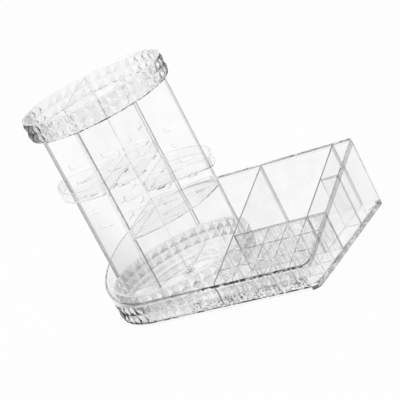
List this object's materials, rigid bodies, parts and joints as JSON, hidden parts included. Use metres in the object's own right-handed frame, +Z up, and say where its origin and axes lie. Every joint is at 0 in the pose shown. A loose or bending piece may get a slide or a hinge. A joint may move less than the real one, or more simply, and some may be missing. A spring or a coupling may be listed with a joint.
{
  "type": "rotating cosmetic storage box",
  "caption": "Clear long box with diamond band, divided compartments, a lipstick grid and a round tower on a turntable with hook-in quarter trays.",
  "frame": {"origin": "middle of the footprint on the standing surface", "axes": "+X along the length from the tower to the compartments, -Y to the low front, +Z up"},
  "size_m": [0.3602, 0.2152, 0.2992],
  "materials": {
    "clear_plastic": "clear polished polystyrene",
    "panel_plastic": "clear polished flat panel",
    "race_plastic": "clear smooth race",
    "bearing_plastic": "translucent smooth",
    "screw_steel": "bright zinc plated",
    "foot_rubber": "clear soft rubber"
  },
  "bodies": {
    "base": {"base_shell": "clear_plastic", "tower_side_divider": "clear_plastic", "rear_divider": "clear_plastic", "mid_cross_wall": "clear_plastic", "small_cross_wall": "clear_plastic", "lipstick_rib_1": "clear_plastic", "lipstick_rib_2": "clear_plastic", "lipstick_rib_3": "clear_plastic", "lipstick_rib_4": "clear_plastic", "lipstick_cross_rib_1": "clear_plastic", "lipstick_cross_rib_2": "clear_plastic", "turntable_lower_race": "race_plastic", "pivot_washer": "screw_steel", "pivot_screw": "screw_steel", "foot_1": "foot_rubber", "foot_2": "foot_rubber", "foot_3": "foot_rubber", "foot_4": "foot_rubber", "foot_5": "foot_rubber", "foot_6": "foot_rubber"},
    "bearing": {"turntable_ball_cage": "bearing_plastic", "turntable_ball_1": "bearing_plastic", "turntable_ball_2": "bearing_plastic", "turntable_ball_3": "bearing_plastic", "turntable_ball_4": "bearing_plastic", "turntable_ball_5": "bearing_plastic", "turntable_ball_6": "bearing_plastic", "turntable_ball_7": "bearing_plastic", "turntable_ball_8": "bearing_plastic", "turntable_ball_9": "bearing_plastic", "turntable_ball_10": "bearing_plastic"},
    "tower": {"turntable_upper_race": "race_plastic", "tower_bottom_tray": "clear_plastic", "tower_top_tray": "clear_plastic", "top_tray_divider": "clear_plastic", "partition_panel_side": "panel_plastic", "partition_panel_front": "panel_plastic"},
    "shelf_tray_1": {"shelf_tray_1": "clear_plastic"},
    "shelf_tray_2": {"shelf_tray_2": "clear_plastic"},
    "shelf_tray_3": {"shelf_tray_3": "clear_plastic"},
    "shelf_tray_4": {"shelf_tray_4": "clear_plastic"}
  },
  "joints": [
    {"name": "tower_spin", "type": "hinge", "parent": "base", "child": "tower", "pos_m": [-0.07245, 0, 0.016], "axis": [0, 0, 1], "continuous": true},
    {"name": "cage_spin", "type": "hinge", "parent": "base", "child": "bearing", "pos_m": [-0.07245, 0, 0.009], "axis": [0, 0, 1], "continuous": true},
    {"name": "shelf_tray_1_slide", "type": "slide", "parent": "tower", "child": "shelf_tray_1", "axis": [-0.5284, -0.849, 0], "range_m": [0, 0.12]},
    {"name": "shelf_tray_2_slide", "type": "slide", "parent": "tower", "child": "shelf_tray_2", "axis": [-0.849, 0.5284, 0], "range_m": [0, 0.12]},
    {"name": "shelf_tray_3_slide", "type": "slide", "parent": "tower", "child": "shelf_tray_3", "axis": [0.5284, 0.849, 0], "range_m": [0, 0.12]},
    {"name": "shelf_tray_4_slide", "type": "slide", "parent": "tower", "child": "shelf_tray_4", "axis": [0.849, -0.5284, 0], "range_m": [0, 0.12]}
  ],
  "couplings": [
    {"joint": "cage_spin", "follows": "tower_spin", "ratio": 0.5}
  ]
}
